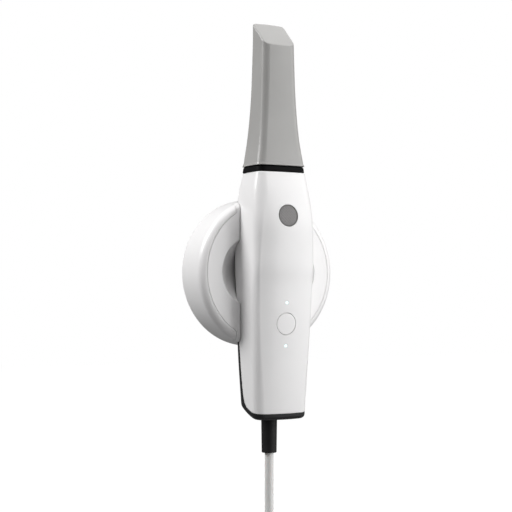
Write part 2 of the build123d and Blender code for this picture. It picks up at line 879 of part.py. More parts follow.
plug_top = hank_low - hank_tail
plug_low = plug_top - plug_length
with BuildPart() as plug_body:
    with BuildSketch(Plane.XY.offset(plug_low)):
        with Locations((0, relief_y)):
            RectangleRounded(2 * plug_half, plug_depth, plug_corner)
    extrude(amount=plug_length - plug_boot)
    fillet(plug_body.faces().sort_by(Axis.Z)[-1].edges(), plug_round)
    add(round_bar(Plane.XY.offset(plug_top), 0, relief_y, plug_boot_radius, -plug_boot - plug_boot_sink))
plug_body.part.label = "plug_body"
export_step(plug_body.part, "parts/plug_body.step")

shell_low = plug_low - plug_shell_length
tongue_width = plug_shell_width - 2 * plug_shell_wall
with BuildPart() as plug_shell:
    with BuildSketch(Plane.XY.offset(shell_low)):
        with Locations((0, relief_y)):
            Rectangle(plug_shell_width, plug_shell_depth)
            Rectangle(tongue_width, plug_shell_depth - 2 * plug_shell_wall, mode=Mode.SUBTRACT)
    extrude(amount=plug_shell_length)
plug_shell.part.label = "plug_shell"
export_step(plug_shell.part, "parts/plug_shell.step")

with BuildPart() as plug_tongue:
    tongue_y = relief_y + plug_shell_depth / 2 - plug_shell_wall - plug_tongue_depth / 2
    with BuildSketch(Plane.XY.offset(shell_low + plug_shell_wall)):
        with Locations((0, tongue_y)):
            Rectangle(tongue_width, plug_tongue_depth)
    extrude(amount=plug_shell_length - plug_shell_wall)
plug_tongue.part.label = "plug_tongue"
export_step(plug_tongue.part, "parts/plug_tongue.step")

# Round holder: an outer rim and the cradle in its middle, which meet at the crease of the face
drum_back_radius = drum_shoulder_radius - drum_taper
face_radius = drum_shoulder_radius - face_inset
shoulder_y = drum_shoulder_depth - drum_depth
side_slope = (drum_shoulder_radius - drum_back_radius) / shoulder_y


def drum_edge():
    """Side of the drum and its rounded shoulder, up to the crease of the face."""
    Line((drum_back_radius, 0), (drum_shoulder_radius, shoulder_y))
    Bezier(
        (drum_shoulder_radius, shoulder_y),
        (
            drum_shoulder_radius + side_slope * -handle * drum_shoulder_depth,
            shoulder_y - handle * drum_shoulder_depth,
        ),
        (face_radius + handle * (drum_shoulder_radius - face_radius), -drum_depth),
        (face_radius, -drum_depth),
    )


dome_radius = (face_radius**2 + face_dome**2) / (2 * face_dome)
with BuildPart() as drum:
    with BuildSketch(Plane.XY):
        with BuildLine():
            drum_edge()
            RadiusArc((face_radius, -drum_depth), (0, -drum_depth - face_dome), dome_radius)
            Polyline((0, -drum_depth - face_dome), (0, 0), (drum_back_radius, 0))
        make_face()
    revolve(axis=Axis.Y)

ledge_y = face_edge + fit_gap - drum_depth
ledge_radius = face_radius - ledge_width
with BuildPart() as holder_rim:
    with BuildSketch(Plane.XY):
        with BuildLine():
            drum_edge()
            Polyline(
                (face_radius, -drum_depth),
                (face_radius, ledge_y),
                (ledge_radius, ledge_y),
                (ledge_radius, ledge_y + ledge_height),
                (drum_shoulder_radius - holder_wall, shoulder_y + holder_wall),
                (drum_back_radius - holder_wall, 0),
                (drum_back_radius, 0),
            )
        make_face()
    revolve(axis=Axis.Y)
    add(body_form(cradle_gap + holder_wall + face_gap), mode=Mode.SUBTRACT)
holder_rim.part.label = "holder_rim"
export_step(holder_rim.part, "parts/holder_rim.step")

disc_radius = face_radius - face_gap
skirt_radius = ledge_radius - skirt_gap
skirt_y = skirt_depth - drum_depth + face_edge
scoop_y = -drum_depth - scoop_stand_off
with BuildPart() as holder_cradle:
    with BuildSketch(Plane.XY):
        with BuildLine():
            Polyline(
                (0, scoop_y),
                (disc_radius, scoop_y),
                (disc_radius, face_edge - drum_depth),
                (skirt_radius, face_edge - drum_depth),
                (skirt_radius, skirt_y),
                (skirt_radius - holder_wall, skirt_y),
                (skirt_radius - holder_wall, holder_wall - drum_depth),
                (0, holder_wall - drum_depth - face_dome),
                (0, scoop_y),
            )
        make_face()
    revolve(axis=Axis.Y)
    for way in (1, -1):
        with Locations((way * scoop_offset, scoop_y, scoop_lift)):
            Sphere(scoop_radius + holder_wall)
    add(body_form(cradle_gap + holder_wall))
    add(drum.part, mode=Mode.INTERSECT)
    magnet_places = [
        (0, (keeper_low + keeper_high) / 2 + way * magnet_spread) for way in (1, -1)
    ]
    boss_length = magnet_height + holder_wall
    magnet_back = magnet_floor + magnet_height
    for x, z in magnet_places:
        add(round_bar(Plane.XZ.offset(-magnet_back), x, z, magnet_radius + magnet_boss_wall, boss_length))
    add(body_form(cradle_gap), mode=Mode.SUBTRACT)
    for way in (1, -1):
        with Locations((way * scoop_offset, scoop_y, scoop_lift)):
            Sphere(scoop_radius, mode=Mode.SUBTRACT)
    peg_places = [(x * post_x, z * post_z) for x in (1, -1) for z in (1, -1)]
    for x, z in peg_places:
        post_length = drum_depth - holder_wall / 2 - plate_thickness
        add(round_bar(Plane.XZ.offset(plate_thickness), x, z, post_radius, post_length))
        add(
            round_bar(Plane.XZ.offset(plate_thickness), x, z, peg_radius + fit_gap, 2 * peg_length),
            mode=Mode.SUBTRACT,
        )
    for x, z in magnet_places:
        add(
            round_bar(Plane.XZ.offset(-magnet_back), x, z, magnet_radius + fit_gap, magnet_height),
            mode=Mode.SUBTRACT,
        )
holder_cradle.part.label = "holder_cradle"
export_step(holder_cradle.part, "parts/holder_cradle.step")

with BuildPart() as wall_plate:
    add(round_bar(Plane.XZ, 0, 0, drum_back_radius - holder_wall - plate_gap, plate_thickness))
    for x, z in peg_places:
        add(round_bar(Plane.XZ.offset(plate_thickness), x, z, peg_radius, peg_length))
    with Locations(Plane.XZ.offset(plate_thickness)):
        with PolarLocations(wall_screw_circle / 2, 4):
            CounterSinkHole(wall_screw_radius, wall_screw_head, depth=plate_thickness)
wall_plate.part.label = "wall_plate"
export_step(wall_plate.part, "parts/wall_plate.step")

with BuildPart() as holder_magnets:
    for x, z in magnet_places:
        add(round_bar(Plane.XZ.offset(-magnet_back), x, z, magnet_radius, magnet_height))
holder_magnets.part.label = "holder_magnets"
export_step(holder_magnets.part, "parts/holder_magnets.step")
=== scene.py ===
from math import cos, pi, radians, sin

import bpy
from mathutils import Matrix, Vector


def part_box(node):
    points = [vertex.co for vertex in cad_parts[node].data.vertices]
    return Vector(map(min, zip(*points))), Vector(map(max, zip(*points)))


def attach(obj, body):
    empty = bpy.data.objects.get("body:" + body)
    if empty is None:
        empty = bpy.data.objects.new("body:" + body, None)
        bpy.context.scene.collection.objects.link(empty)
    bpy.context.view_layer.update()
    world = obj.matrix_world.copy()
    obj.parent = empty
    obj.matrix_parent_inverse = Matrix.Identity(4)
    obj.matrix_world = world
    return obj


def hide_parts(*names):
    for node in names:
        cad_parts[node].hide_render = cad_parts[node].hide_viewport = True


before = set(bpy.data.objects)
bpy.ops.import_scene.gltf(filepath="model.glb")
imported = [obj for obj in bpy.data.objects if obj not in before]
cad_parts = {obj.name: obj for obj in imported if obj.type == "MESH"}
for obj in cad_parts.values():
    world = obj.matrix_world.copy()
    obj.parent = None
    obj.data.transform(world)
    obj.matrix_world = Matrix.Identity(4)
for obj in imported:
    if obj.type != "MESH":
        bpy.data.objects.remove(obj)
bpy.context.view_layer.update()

# A wired intraoral scanner standing in its round wall holder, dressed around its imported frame.
# Lengths are metres, +Z is up, and the wall is the plane y = 0 behind the holder.
mm = 0.001


def colour(hexCode):  # sRGB hex to the linear values that shaders work in
    channels = [int(hexCode[i:i + 2], 16) / 255 for i in (0, 2, 4)]
    return [c / 12.92 if c <= 0.04045 else ((c + 0.055) / 1.055) ** 2.4 for c in channels] + [1.0]


def addNode(tree, kind, inputs=None, **settings):  # a socket as an input's value makes a link
    node = tree.nodes.new(kind)
    for name, value in settings.items():
        setattr(node, name, value)
    for name, value in (inputs or {}).items():
        if isinstance(value, bpy.types.NodeSocket):
            tree.links.new(value, node.inputs[name])
        else:
            node.inputs[name].default_value = value
    return node


def newMaterial(name):
    material = bpy.data.materials.new(name)
    material.use_nodes = True
    material.node_tree.nodes.clear()
    return material, material.node_tree


def wear(material, tree, shader):
    addNode(tree, "ShaderNodeOutputMaterial", {"Surface": shader})
    return material


def fromAxis(tree, place, centre):  # distance from an axis through the centre along y
    away = addNode(tree, "ShaderNodeVectorMath", {0: place, 1: centre}, operation="SUBTRACT").outputs[0]
    flat = addNode(tree, "ShaderNodeVectorMath", {0: away, 1: (1, 0, 1)}, operation="MULTIPLY").outputs[0]
    return addNode(tree, "ShaderNodeVectorMath", {0: flat}, operation="LENGTH").outputs["Value"]


# Mask for painted shade: 0 inside a circle about an axis along y, 1 outside it, and soft between
def paintedShadeMask(tree, place, edge):  # 0 inside a round edge, 1 outside it, and soft between
    reach = fromAxis(tree, place, [c * mm for c in edge["centre"]])
    return addNode(tree, "ShaderNodeMapRange", {
        "Value": reach, "From Min": edge["radius"] * mm,
        "From Max": (edge["radius"] + edge["blend"]) * mm}, interpolation_type="SMOOTHSTEP").outputs["Result"]


# A moulded or cast surface: a slow drift of tone, a fine grain, gloss that varies a little, and
# edges that catch the light over the small radius that every tool leaves. A finish may also paint a ring of
# shade round an axis
noises = {  # detail, and the part of each noise that is used
    "drift": {"detail": 2.0, "low": 0.35, "high": 0.65},
    "grain": {"detail": 3.0, "low": 0.3, "high": 0.7},
}
scatterReach = 1.5 * mm  # how far light spreads inside a waxy plastic
plainEdge = 0.2          # millimetres that an edge is softened by where its finish says nothing else


def moulded(name, look):
    material, tree = newMaterial(name)
    place = addNode(tree, "ShaderNodeTexCoord").outputs["Object"]
    drift = addNode(tree, "ShaderNodeTexNoise", {
        "Vector": place, "Scale": 1 / (look["driftSize"] * mm),
        "Detail": noises["drift"]["detail"]}).outputs["Fac"]
    grain = addNode(tree, "ShaderNodeTexNoise", {
        "Vector": place, "Scale": 1 / (look["grainSize"] * mm),
        "Detail": noises["grain"]["detail"]}).outputs["Fac"]
    tone = addNode(tree, "ShaderNodeMapRange", {
        "Value": drift, "From Min": noises["drift"]["low"],
        "From Max": noises["drift"]["high"]}).outputs["Result"]
    paint = addNode(tree, "ShaderNodeMix", {
        0: tone, 6: colour(look["colour"]), 7: colour(look["shade"])}, data_type="RGBA").outputs[2]
    # Painted shade: beyond the given radius the colour is painted darker, as if the rim lay in shadow
    if "edge" in look:
        paint = addNode(tree, "ShaderNodeMix", {
            0: paintedShadeMask(tree, place, look["edge"]), 6: paint,
            7: colour(look["edge"]["colour"])}, data_type="RGBA").outputs[2]
    gloss = addNode(tree, "ShaderNodeMapRange", {
        "Value": grain, "From Min": noises["grain"]["low"], "From Max": noises["grain"]["high"],
        "To Min": look["roughness"] - look["uneven"],
        "To Max": look["roughness"] + look["uneven"]}).outputs["Result"]
    softEdge = look.get("softEdge", plainEdge)
    rounded = addNode(tree, "ShaderNodeBevel", {"Radius": softEdge * mm}).outputs["Normal"]
    relief = addNode(tree, "ShaderNodeBump", {
        "Height": grain, "Strength": look["grainStrength"],
        "Distance": look["grainDepth"] * mm, "Normal": rounded}).outputs["Normal"]
    shader = addNode(tree, "ShaderNodeBsdfPrincipled", {
        "Base Color": paint, "Roughness": gloss, "Normal": relief,
        "Metallic": look.get("metallic", 0.0), "IOR": look.get("ior", 1.5),
        "Specular IOR Level": look.get("specular", 0.5),
        "Coat Weight": look.get("coat", 0.0), "Coat Roughness": look.get("coatRoughness", 0.1),
        "Subsurface Weight": look.get("scatter", 0.0),
        "Subsurface Scale": scatterReach}, subsurface_method="BURLEY")
    return wear(material, tree, shader.outputs[0])


# What each finish is, and what that gives the eye. Sizes are millimetres.
finishes = {
    # injection-moulded ABS, polished tool: white with a satin gloss and hardly any texture
    "glossWhiteAbs": dict(
        colour="F4F3F3", shade="F1F0F0", driftSize=30, grainSize=0.9, grainStrength=0.02,
        grainDepth=0.05, roughness=0.3, uneven=0.02, ior=1.49, coat=0.2, coatRoughness=0.15,
        softEdge=0.7),
    # the holder's ABS, a finer spark finish: a little softer than the handpiece
    "satinWhiteAbs": dict(
        colour="F6F5F5", shade="F3F2F2", driftSize=45, grainSize=0.7, grainStrength=0.03,
        grainDepth=0.05, roughness=0.34, uneven=0.03, ior=1.49, coat=0.3, coatRoughness=0.2,
        softEdge=0.9),
    # black PC-ABS cover: matt, deep, with a fine spark texture
    "mattBlackAbs": dict(
        colour="151516", shade="1A1A1B", driftSize=20, grainSize=0.5, grainStrength=0.25,
        grainDepth=0.04, roughness=0.45, uneven=0.05, specular=0.3),
    # polyphenylsulfone sleeve that goes through the steriliser: warm grey, matt, faint grain
    "greyPpsu": dict(
        colour="A4A3A1", shade="A09F9D", driftSize=25, grainSize=0.45, grainStrength=0.12,
        grainDepth=0.05, roughness=0.34, uneven=0.04, softEdge=0.7),
    # silicone seal: dark, soft sheen, picks up a little dust
    "blackSilicone": dict(
        colour="070708", shade="0B0B0C", driftSize=8, grainSize=0.6, grainStrength=0.2,
        grainDepth=0.04, roughness=0.55, uneven=0.05, specular=0.06, softEdge=0.4),
    # thermoplastic rubber of the strain relief: nearly matt, so its edges stay soft
    "blackTpe": dict(
        colour="161617", shade="1B1B1C", driftSize=6, grainSize=0.4, grainStrength=0.35,
        grainDepth=0.05, roughness=0.55, uneven=0.05, specular=0.25),
    # scan button: grey silicone-coated cap with a stippled face; past 6.1 mm from its axis the rim is painted
    # dark grey, painted shade of the rim sitting in its hole
    "greyRubber": dict(
        colour="7C7A7A", shade="767474", driftSize=5, grainSize=0.35, grainStrength=0.3,
        grainDepth=0.06, roughness=0.6, uneven=0.05,
        edge=dict(centre=(0, 0, 35), radius=6.1, blend=0.25, colour="454444")),
    # tops of the stipple's pips: the same rubber, painted paler, a painted highlight where the tops catch the
    # light
    "pipHighlightRubber": dict(
        colour="A6A4A3", shade="A09E9D", driftSize=5, grainSize=0.35, grainStrength=0.2,
        grainDepth=0.04, roughness=0.5, uneven=0.05),
    # PVC of the lead's jacket and the plug: pale grey, slightly waxy
    "paleGreyPvc": dict(
        colour="E6E5E3", shade="E0DFDD", driftSize=15, grainSize=0.5, grainStrength=0.15,
        grainDepth=0.05, roughness=0.4, uneven=0.05, ior=1.53, scatter=0.05),
    # glass-filled nylon of the plate, the clamp and the plug's tongue: dull, with a visible grain
    "greyNylon": dict(
        colour="C9C9C7", shade="C2C2C0", driftSize=12, grainSize=0.5, grainStrength=0.3,
        grainDepth=0.05, roughness=0.5, uneven=0.06),
    # nylon of the two switches: dark, with a low gloss
    "blackNylon": dict(
        colour="1E1E1F", shade="252526", driftSize=4, grainSize=0.4, grainStrength=0.2,
        grainDepth=0.03, roughness=0.45, uneven=0.05),
    # solder mask over copper: dark green with a gloss
    "greenSolderMask": dict(
        colour="17502F", shade="1C5C38", driftSize=9, grainSize=0.6, grainStrength=0.1,
        grainDepth=0.03, roughness=0.3, uneven=0.05),
    # anodised aluminium of the nose, the optics' frame and the heat sink: dark, with a metal's glint
    "blackAnodised": dict(
        colour="2B2B2D", shade="303033", driftSize=10, grainSize=0.3, grainStrength=0.2,
        grainDepth=0.02, roughness=0.42, uneven=0.04, metallic=0.6),
    # nickel-plated steel of the keeper, the magnets and the plug's shell: warm, nearly a mirror
    "nickelSteel": dict(
        colour="BDBBB6", shade="B4B2AD", driftSize=6, grainSize=0.4, grainStrength=0.1,
        grainDepth=0.02, roughness=0.28, uneven=0.06, metallic=1.0),
    # zinc-plated steel of the screws: cooler and duller than the nickel
    "zincSteel": dict(
        colour="A9ABAD", shade="9FA1A4", driftSize=2, grainSize=0.2, grainStrength=0.15,
        grainDepth=0.02, roughness=0.34, uneven=0.06, metallic=1.0),
}


# Hook-and-loop strap of the tie: two crossed sets of threads in black nylon. Real threads are about
# 0.3 mm apart, drawn here at 0.9 mm so that they show
strapLook = {
    "colour": "1B1B1D", "thread": "2C2C2F", "spacing": 0.9, "depth": 0.12, "relief": 0.5,
    "roughness": 0.75, "specular": 0.2, "sheen": 0.25, "sheenRoughness": 0.5,
    "wave": 0.314,  # length of one wave of the texture at a scale of 1
}


def wovenNylon(name, look):
    material, tree = newMaterial(name)
    place = addNode(tree, "ShaderNodeTexCoord").outputs["Object"]
    threads = [addNode(tree, "ShaderNodeTexWave", {
        "Vector": place, "Scale": look["wave"] / (look["spacing"] * mm)}, bands_direction=way).outputs["Fac"]
        for way in ("Z", "DIAGONAL")]
    weave = addNode(tree, "ShaderNodeMath", {0: threads[0], 1: threads[1]}, operation="MULTIPLY").outputs[0]
    paint = addNode(tree, "ShaderNodeMix", {
        0: weave, 6: colour(look["colour"]), 7: colour(look["thread"])}, data_type="RGBA").outputs[2]
    relief = addNode(tree, "ShaderNodeBump", {
        "Height": weave, "Strength": look["relief"], "Distance": look["depth"] * mm}).outputs["Normal"]
    shader = addNode(tree, "ShaderNodeBsdfPrincipled", {
        "Base Color": paint, "Roughness": look["roughness"], "Normal": relief,
        "Specular IOR Level": look["specular"], "Sheen Weight": look["sheen"],
        "Sheen Roughness": look["sheenRoughness"]})
    return wear(material, tree, shader.outputs[0])


# Clear or mirrored glass, with hardly visible polish marks: its dullest spots are this much
# rougher than its clearest
polishSpread = 1.6


def glass(name, look):
    material, tree = newMaterial(name)
    place = addNode(tree, "ShaderNodeTexCoord").outputs["Object"]
    haze = addNode(tree, "ShaderNodeTexNoise", {
        "Vector": place, "Scale": 1 / (look["hazeSize"] * mm)}).outputs["Fac"]
    gloss = addNode(tree, "ShaderNodeMapRange", {
        "Value": haze, "To Min": look["roughness"],
        "To Max": look["roughness"] * polishSpread}).outputs["Result"]
    shader = addNode(tree, "ShaderNodeBsdfPrincipled", {
        "Base Color": colour(look["colour"]), "Roughness": gloss,
        "Metallic": look["metallic"], "IOR": look["ior"],
        "Transmission Weight": look["clear"]})
    return wear(material, tree, shader.outputs[0])


# Glass of the nose, with an anti-glare coat, the purple-coated lenses, and the mirror in the tip
glasses = {
    "coatedGlass": dict(colour="E4EEF2", hazeSize=3, roughness=0.03, metallic=0.0, ior=1.52, clear=0.9),
    "lensGlass": dict(colour="4A4468", hazeSize=2, roughness=0.02, metallic=0.0, ior=1.6, clear=0.6),
    "frontMirror": dict(colour="E8EBEC", hazeSize=3, roughness=0.03, metallic=1.0, ior=1.5, clear=0.0),
}


# Light guide: frosted acrylic, lit white with a trace of cyan, brightest at its middle.
# Its radii and the size of the frost are millimetres.
guideLook = {
    "colour": "EEFAFA", "glow": "D8FAFF", "core": 0.95, "rim": 0.1, "coreRadius": 0.5,
    "rimRadius": 1.25, "roughness": 0.35, "frost": 0.3, "frostShare": 0.1,
}


def litAcrylic(name, low, high):
    material, tree = newMaterial(name)
    place = addNode(tree, "ShaderNodeTexCoord").outputs["Object"]
    reach = fromAxis(tree, place, [(low[0] + high[0]) / 2, 0, (low[2] + high[2]) / 2])
    frost = addNode(tree, "ShaderNodeTexNoise", {
        "Vector": place, "Scale": 1 / (guideLook["frost"] * mm)}).outputs["Fac"]
    uneven = addNode(tree, "ShaderNodeMapRange", {
        "Value": frost, "To Min": 1 - guideLook["frostShare"],
        "To Max": 1 + guideLook["frostShare"]}).outputs["Result"]
    fall = addNode(tree, "ShaderNodeMapRange", {
        "Value": reach, "From Min": guideLook["coreRadius"] * mm,
        "From Max": guideLook["rimRadius"] * mm,
        "To Min": guideLook["core"], "To Max": guideLook["rim"]},
        interpolation_type="SMOOTHSTEP").outputs["Result"]
    strength = addNode(tree, "ShaderNodeMath", {0: fall, 1: uneven}, operation="MULTIPLY").outputs[0]
    shader = addNode(tree, "ShaderNodeBsdfPrincipled", {
        "Base Color": colour(guideLook["colour"]), "Roughness": guideLook["roughness"],
        "Emission Color": colour(guideLook["glow"]), "Emission Strength": strength})
    return wear(material, tree, shader.outputs[0])


materials = {name: moulded(name, look) for name, look in finishes.items()}
materials.update({name: glass(name, look) for name, look in glasses.items()})
for where in ("upper", "lower"):
    materials[where + "LitAcrylic"] = litAcrylic(where + "LitAcrylic", *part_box(where + "_light_guide"))
materials["wovenNylon"] = wovenNylon("wovenNylon", strapLook)
print("materials made:", len(materials))

# The finish of every node of the frame
dress = {
    "front_shell": "glossWhiteAbs", "back_shell": "mattBlackAbs", "tip_shell": "greyPpsu",
    "neck_ring": "blackSilicone", "scan_button": "greyRubber", "mode_button": "satinWhiteAbs",
    "upper_light_guide": "upperLitAcrylic", "lower_light_guide": "lowerLitAcrylic",
    "strain_relief": "blackTpe", "holder_rim": "satinWhiteAbs", "holder_cradle": "satinWhiteAbs",
    "wall_plate": "greyNylon", "holder_magnets": "nickelSteel", "tip_mirror": "frontMirror",
    "nose_barrel": "blackAnodised", "nose_window": "coatedGlass", "optics_chassis": "blackAnodised",
    "camera_lens": "lensGlass", "projector_lens": "lensGlass",
    "camera_sensor_board": "greenSolderMask", "projector_lamp_board": "greenSolderMask",
    "main_board": "greenSolderMask", "heat_sink": "blackAnodised", "scan_switch": "blackNylon",
    "mode_switch": "blackNylon", "board_screws": "zincSteel", "chassis_screws": "zincSteel",
    "cover_screws": "zincSteel", "steel_keeper": "nickelSteel", "cable_clamp": "greyNylon",
    "cable": "paleGreyPvc", "cable_hank": "paleGreyPvc", "cable_tie": "wovenNylon",
    "plug_body": "paleGreyPvc", "plug_shell": "nickelSteel", "plug_tongue": "greyNylon",
}
for nodeName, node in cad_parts.items():
    for place in node.material_slots:
        place.material = materials[dress[nodeName]]
print("nodes dressed:", len(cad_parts))

# The lead: 1.8 m of 5.5 mm cable. It hangs plumb from the strain relief, and the rest is folded
# into a hank of seven loops in four layers, in line with the handpiece and held by a tie.
lead = {
    "diameter": 5.5 * mm, "length": 1.80, "exit": -114.0 * mm, "middle": -138.0 * mm,
    "lineY": -28.6 * mm, "pitch": 5.75 * mm, "innerRadius": 16.6 * mm, "outerRadius": 22.5 * mm,
    "squeeze": 6.0 * mm, "tail": 14.0 * mm, "crossing": 20.0 * mm, "layers": 4,
    "legSteps": 8, "arcSteps": 8, "leadSteps": 16, "lengthCuts": 6, "roundCuts": 5,
}


def ease(t):  # from 0 to 1 with a slow start and end
    return (1 - cos(pi * min(max(t, 0.0), 1.0))) / 2


def leadRoute():
    low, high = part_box("cable_hank")
    top = high[2]
    bottom = low[2] + lead["tail"]
    radius = lead["diameter"] / 2
    inner = lead["innerRadius"]
    outer = lead["outerRadius"]
    topCentre = top - radius - outer
    lowCentre = bottom + radius + outer
    waist = (topCentre + lowCentre) / 2
    halfLeg = (topCentre - lowCentre) / 2
    legSteps = lead["legSteps"]
    arcSteps = lead["arcSteps"]

    def column(r, z):  # distance of a run from the middle, drawn in by the tie
        return r - lead["squeeze"] * (1 + cos(pi * min(abs(z - waist) / halfLeg, 1))) / 2

    def layer(k):  # y of a layer, counted back from the line that the lead hangs on
        return lead["lineY"] + lead["pitch"] * k

    def change(step, z):  # how far a run going down has changed its layer at height z
        return ease((waist + lead["crossing"] - z) / (2 * lead["crossing"])) * step

    points = [(0, layer(0), z) for z in (lead["exit"], lead["middle"], top)]
    for i in range(1, lead["leadSteps"]):
        z = top + (lowCentre - top) * i / lead["leadSteps"]
        x = column(outer, min(z, topCentre)) * ease((top - z) / (top - waist))
        points.append((x, layer(0) + lead["pitch"] * change(1, z), z))
    deep = lead["layers"]
    # Each loop's radius and layer: the outer ones go back layer by layer, the inner ones come forward
    bottoms = [(outer, k) for k in range(1, deep + 1)] + [(inner, k) for k in range(deep - 1, 0, -1)]
    tops = [(outer, k) for k in range(1, deep)] + [(inner, k) for k in range(deep, 0, -1)]
    for loop in range(len(bottoms)):
        lowRadius, lowLayer = bottoms[loop]
        topRadius, topLayer = tops[loop]
        for i in range(arcSteps + 1):
            a = -pi * i / arcSteps
            points.append((lowRadius * cos(a), layer(lowLayer), lowCentre + lowRadius * sin(a)))
        for i in range(1, legSteps):
            z = lowCentre + (topCentre - lowCentre) * i / legSteps
            r = lowRadius + (topRadius - lowRadius) * ease(i / legSteps)
            points.append((-column(r, z), layer(lowLayer), z))
        for i in range(arcSteps + 1):
            a = pi - pi * i / arcSteps
            points.append((topRadius * cos(a), layer(topLayer), topCentre + topRadius * sin(a)))
        if loop + 1 < len(bottoms):
            step = 1 if topRadius == outer else -1
            for i in range(1, legSteps):
                z = topCentre + (lowCentre - topCentre) * i / legSteps
                y = layer(topLayer) + lead["pitch"] * change(step, z)
                points.append((column(topRadius, z), y, z))
    for i in range(1, lead["leadSteps"] + 1):
        z = topCentre + (bottom - topCentre) * i / lead["leadSteps"]
        x = column(inner, max(z, lowCentre)) * (1 - ease((waist - z) / (waist - bottom)))
        points.append((x, layer(1) + lead["pitch"] * change(-1, z), z))
    points += [(0, layer(0), bottom - lead["tail"] / 2), (0, layer(0), bottom - lead["tail"])]
    return points


def makeLead():
    curve = bpy.data.curves.new("lead", "CURVE")
    curve.dimensions = "3D"
    spline = curve.splines.new("NURBS")
    route = leadRoute()
    spline.points.add(len(route) - 1)
    for point, place in zip(spline.points, route):
        point.co = (*place, 1)
    spline.order_u = 3
    spline.use_endpoint_u = True
    spline.resolution_u = lead["lengthCuts"]
    curve.bevel_depth = lead["diameter"] / 2
    curve.bevel_resolution = lead["roundCuts"]
    curve.use_fill_caps = True
    piece = bpy.data.objects.new("lead", curve)
    bpy.context.scene.collection.objects.link(piece)
    curve.materials.append(materials["paleGreyPvc"])
    return piece


leadPiece = makeLead()
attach(leadPiece, "scanner")
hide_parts("cable", "cable_hank")
print("lead laid")


# Geometry Nodes: each tree ends in Realize Instances and Set Material, and its result is a plain mesh
def makeTree(name, sizes):
    tree = bpy.data.node_groups.new(name, "GeometryNodeTree")
    for label in sizes:
        tree.interface.new_socket(label, in_out="INPUT", socket_type="NodeSocketFloat")
    tree.interface.new_socket("Geometry", in_out="OUTPUT", socket_type="NodeSocketGeometry")
    return tree, addNode(tree, "NodeGroupInput").outputs


def closeTree(tree, instances, material):
    real = addNode(tree, "GeometryNodeRealizeInstances", {"Geometry": instances}).outputs[0]
    painted = addNode(tree, "GeometryNodeSetMaterial", {"Geometry": real, "Material": material}).outputs[0]
    addNode(tree, "NodeGroupOutput", {"Geometry": painted})


def bake(name, tree, sizes):
    carrier = bpy.data.objects.new(name, bpy.data.meshes.new(name))
    bpy.context.scene.collection.objects.link(carrier)
    modifier = carrier.modifiers.new(name, "NODES")
    modifier.node_group = tree
    for item in tree.interface.items_tree:
        if item.in_out == "INPUT":
            modifier[item.identifier] = sizes[item.name]
    bpy.context.view_layer.update()
    result = bpy.data.meshes.new_from_object(carrier.evaluated_get(bpy.context.evaluated_depsgraph_get()))
    carrier.modifiers.remove(modifier)
    carrier.data = result
    return carrier


# Stipple of the scan button: flat pips on a slanting grid, laid on the button's own face.
# The real grain is about half as coarse, too fine to show at the photograph's scale.
scanStipple = {
    "pitch": 1.3 * mm, "pipWidth": 0.9 * mm, "pipHeight": 0.12 * mm, "reach": 5.75 * mm,
    "height": 35.0 * mm, "start": -0.07, "rayLength": 0.1, "across": 15, "gridTurn": 45,
    "pipSides": 8, "pipRings": 4,
}


def makeStipple():
    tree, size = makeTree("scanStipple", ["pitch", "pipWidth", "pipHeight", "reach", "height"])
    across = scanStipple["across"]
    width = addNode(tree, "ShaderNodeMath", {
        0: size["pitch"], 1: across - 1.0}, operation="MULTIPLY").outputs[0]
    grid = addNode(tree, "GeometryNodeMeshGrid", {
        "Vertices X": across, "Vertices Y": across, "Size X": width, "Size Y": width}).outputs["Mesh"]
    turned = addNode(tree, "GeometryNodeTransform", {
        "Geometry": grid, "Rotation": (0, 0, radians(scanStipple["gridTurn"]))}).outputs[0]
    place = addNode(tree, "GeometryNodeInputPosition").outputs[0]
    away = addNode(tree, "ShaderNodeVectorMath", {0: place}, operation="LENGTH").outputs["Value"]
    outside = addNode(tree, "FunctionNodeCompare", {0: away, 1: size["reach"]},
                      data_type="FLOAT", operation="GREATER_THAN").outputs[0]
    disc = addNode(tree, "GeometryNodeDeleteGeometry", {
        "Geometry": turned, "Selection": outside}, domain="POINT").outputs[0]
    start = addNode(tree, "ShaderNodeCombineXYZ", {"Y": scanStipple["start"], "Z": size["height"]}).outputs[0]
    facing = addNode(tree, "GeometryNodeTransform", {
        "Geometry": disc, "Translation": start, "Rotation": (radians(90), 0, 0)}).outputs[0]
    button = addNode(tree, "GeometryNodeObjectInfo", {"Object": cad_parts["scan_button"]})
    hit = addNode(tree, "GeometryNodeRaycast", {
        "Target Geometry": button.outputs["Geometry"], "Ray Direction": (0, 1, 0),
        "Ray Length": scanStipple["rayLength"]})
    landed = addNode(tree, "GeometryNodeSetPosition", {
        "Geometry": facing, "Position": hit.outputs["Hit Position"]}).outputs[0]
    pip = addNode(tree, "GeometryNodeMeshUVSphere", {
        "Segments": scanStipple["pipSides"], "Rings": scanStipple["pipRings"], "Radius": 0.5}).outputs["Mesh"]
    depth = addNode(tree, "ShaderNodeMath", {0: size["pipHeight"], 1: 2.0}, operation="MULTIPLY").outputs[0]
    shape = addNode(tree, "ShaderNodeCombineXYZ", {
        "X": size["pipWidth"], "Z": size["pipWidth"], "Y": depth}).outputs[0]  # half of it is sunk
    spread = addNode(tree, "GeometryNodeInstanceOnPoints", {
        "Points": landed, "Instance": pip, "Scale": shape}).outputs[0]
    # the pips wear the paler rubber: a painted highlight on their tops
    closeTree(tree, spread, materials["pipHighlightRubber"])
    return bake("scanStipple", tree, scanStipple)


# Finger ribs across the plug's two flat sides, and rings round its boot
plugGrip = {
    "ribRadius": 0.55 * mm, "ribPitch": 2.1 * mm, "ribs": 5, "ribSides": 12,
    "ribShare": 0.62, "ribStart": 0.22,  # of the plug's width, and of its height
    "ringRadius": 0.5 * mm, "ringPitch": 1.9 * mm, "rings": 3, "ringTop": 1.6 * mm,
    "ringCuts": 24, "ringSides": 8, "bootBand": 1.0 * mm,
}


def plugBootRadius(high):  # widest reach of the plug's mesh just under its top
    places = [v.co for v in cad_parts["plug_body"].data.vertices]
    return max(abs(place.x) for place in places if place.z > high[2] - plugGrip["bootBand"])


